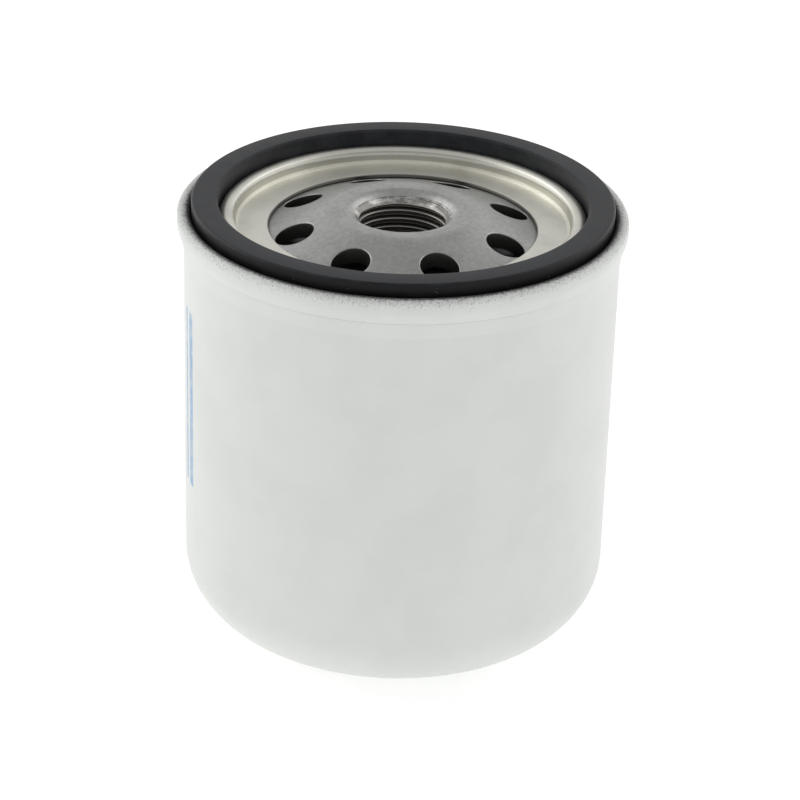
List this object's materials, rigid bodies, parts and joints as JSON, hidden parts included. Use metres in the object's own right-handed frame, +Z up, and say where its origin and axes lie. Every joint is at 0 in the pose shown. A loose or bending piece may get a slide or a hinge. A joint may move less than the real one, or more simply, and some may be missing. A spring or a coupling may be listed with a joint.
{
  "type": "spin-on oil filter",
  "caption": "Spin-on engine oil filter: painted steel can, double-seamed plated lid with a square gasket, and a threaded base plate ringed by inlet holes.",
  "frame": {"origin": "centre of the closed end, on the surface that the filter stands on", "axes": "+Z up along the can's axis, out of the threaded end; the first inlet hole is 19.1 degrees from +X towards +Y"},
  "size_m": [0.0758, 0.0758, 0.0766],
  "materials": {
    "white_paint": "semi-gloss white powder coat",
    "plated_steel": "satin zinc-plated sheet, faintly yellow",
    "bare_steel": "bare pressed steel under an oil film",
    "tinned_steel": "bright tinplate",
    "spring_steel": "dark drawn spring wire",
    "black_rubber": "matte black nitrile",
    "filter_paper": "resin-cured filter paper",
    "potting": "cured brick-red plastisol",
    "seam_compound": "cured grey seaming compound"
  },
  "bodies": {
    "housing": {"canister": "white_paint", "gasket_retainer": "plated_steel", "seam_sealant": "seam_compound", "sealing_gasket": "black_rubber", "base_plate": "bare_steel", "element_spring": "spring_steel"},
    "anti_drain": {"anti_drain_valve": "black_rubber"},
    "element": {"upper_end_cap": "tinned_steel", "upper_potting": "potting", "pleated_media": "filter_paper", "media_clip": "tinned_steel", "center_tube": "tinned_steel", "lower_potting": "potting", "lower_end_cap": "tinned_steel", "bypass_seat": "tinned_steel", "bypass_cage": "tinned_steel", "bypass_spring": "spring_steel"},
    "bypass": {"bypass_seal": "black_rubber", "bypass_plate": "tinned_steel", "bypass_pin": "spring_steel"}
  },
  "joints": [
    {"name": "anti_drain_open", "type": "slide", "parent": "housing", "child": "anti_drain", "axis": [0, 0, -1], "range_m": [0, 0.0012], "stiffness_N_per_m": 300, "springref_m": -0.001},
    {"name": "element_float", "type": "slide", "parent": "housing", "child": "element", "axis": [0, 0, -1], "range_m": [0, 0.0015], "stiffness_N_per_m": 1800, "springref_m": -0.012, "deforming": ["element_spring"]},
    {"name": "bypass_open", "type": "slide", "parent": "element", "child": "bypass", "axis": [0, 0, 1], "range_m": [0, 0.003], "stiffness_N_per_m": 1500, "springref_m": -0.006, "deforming": ["bypass_spring"]}
  ]
}
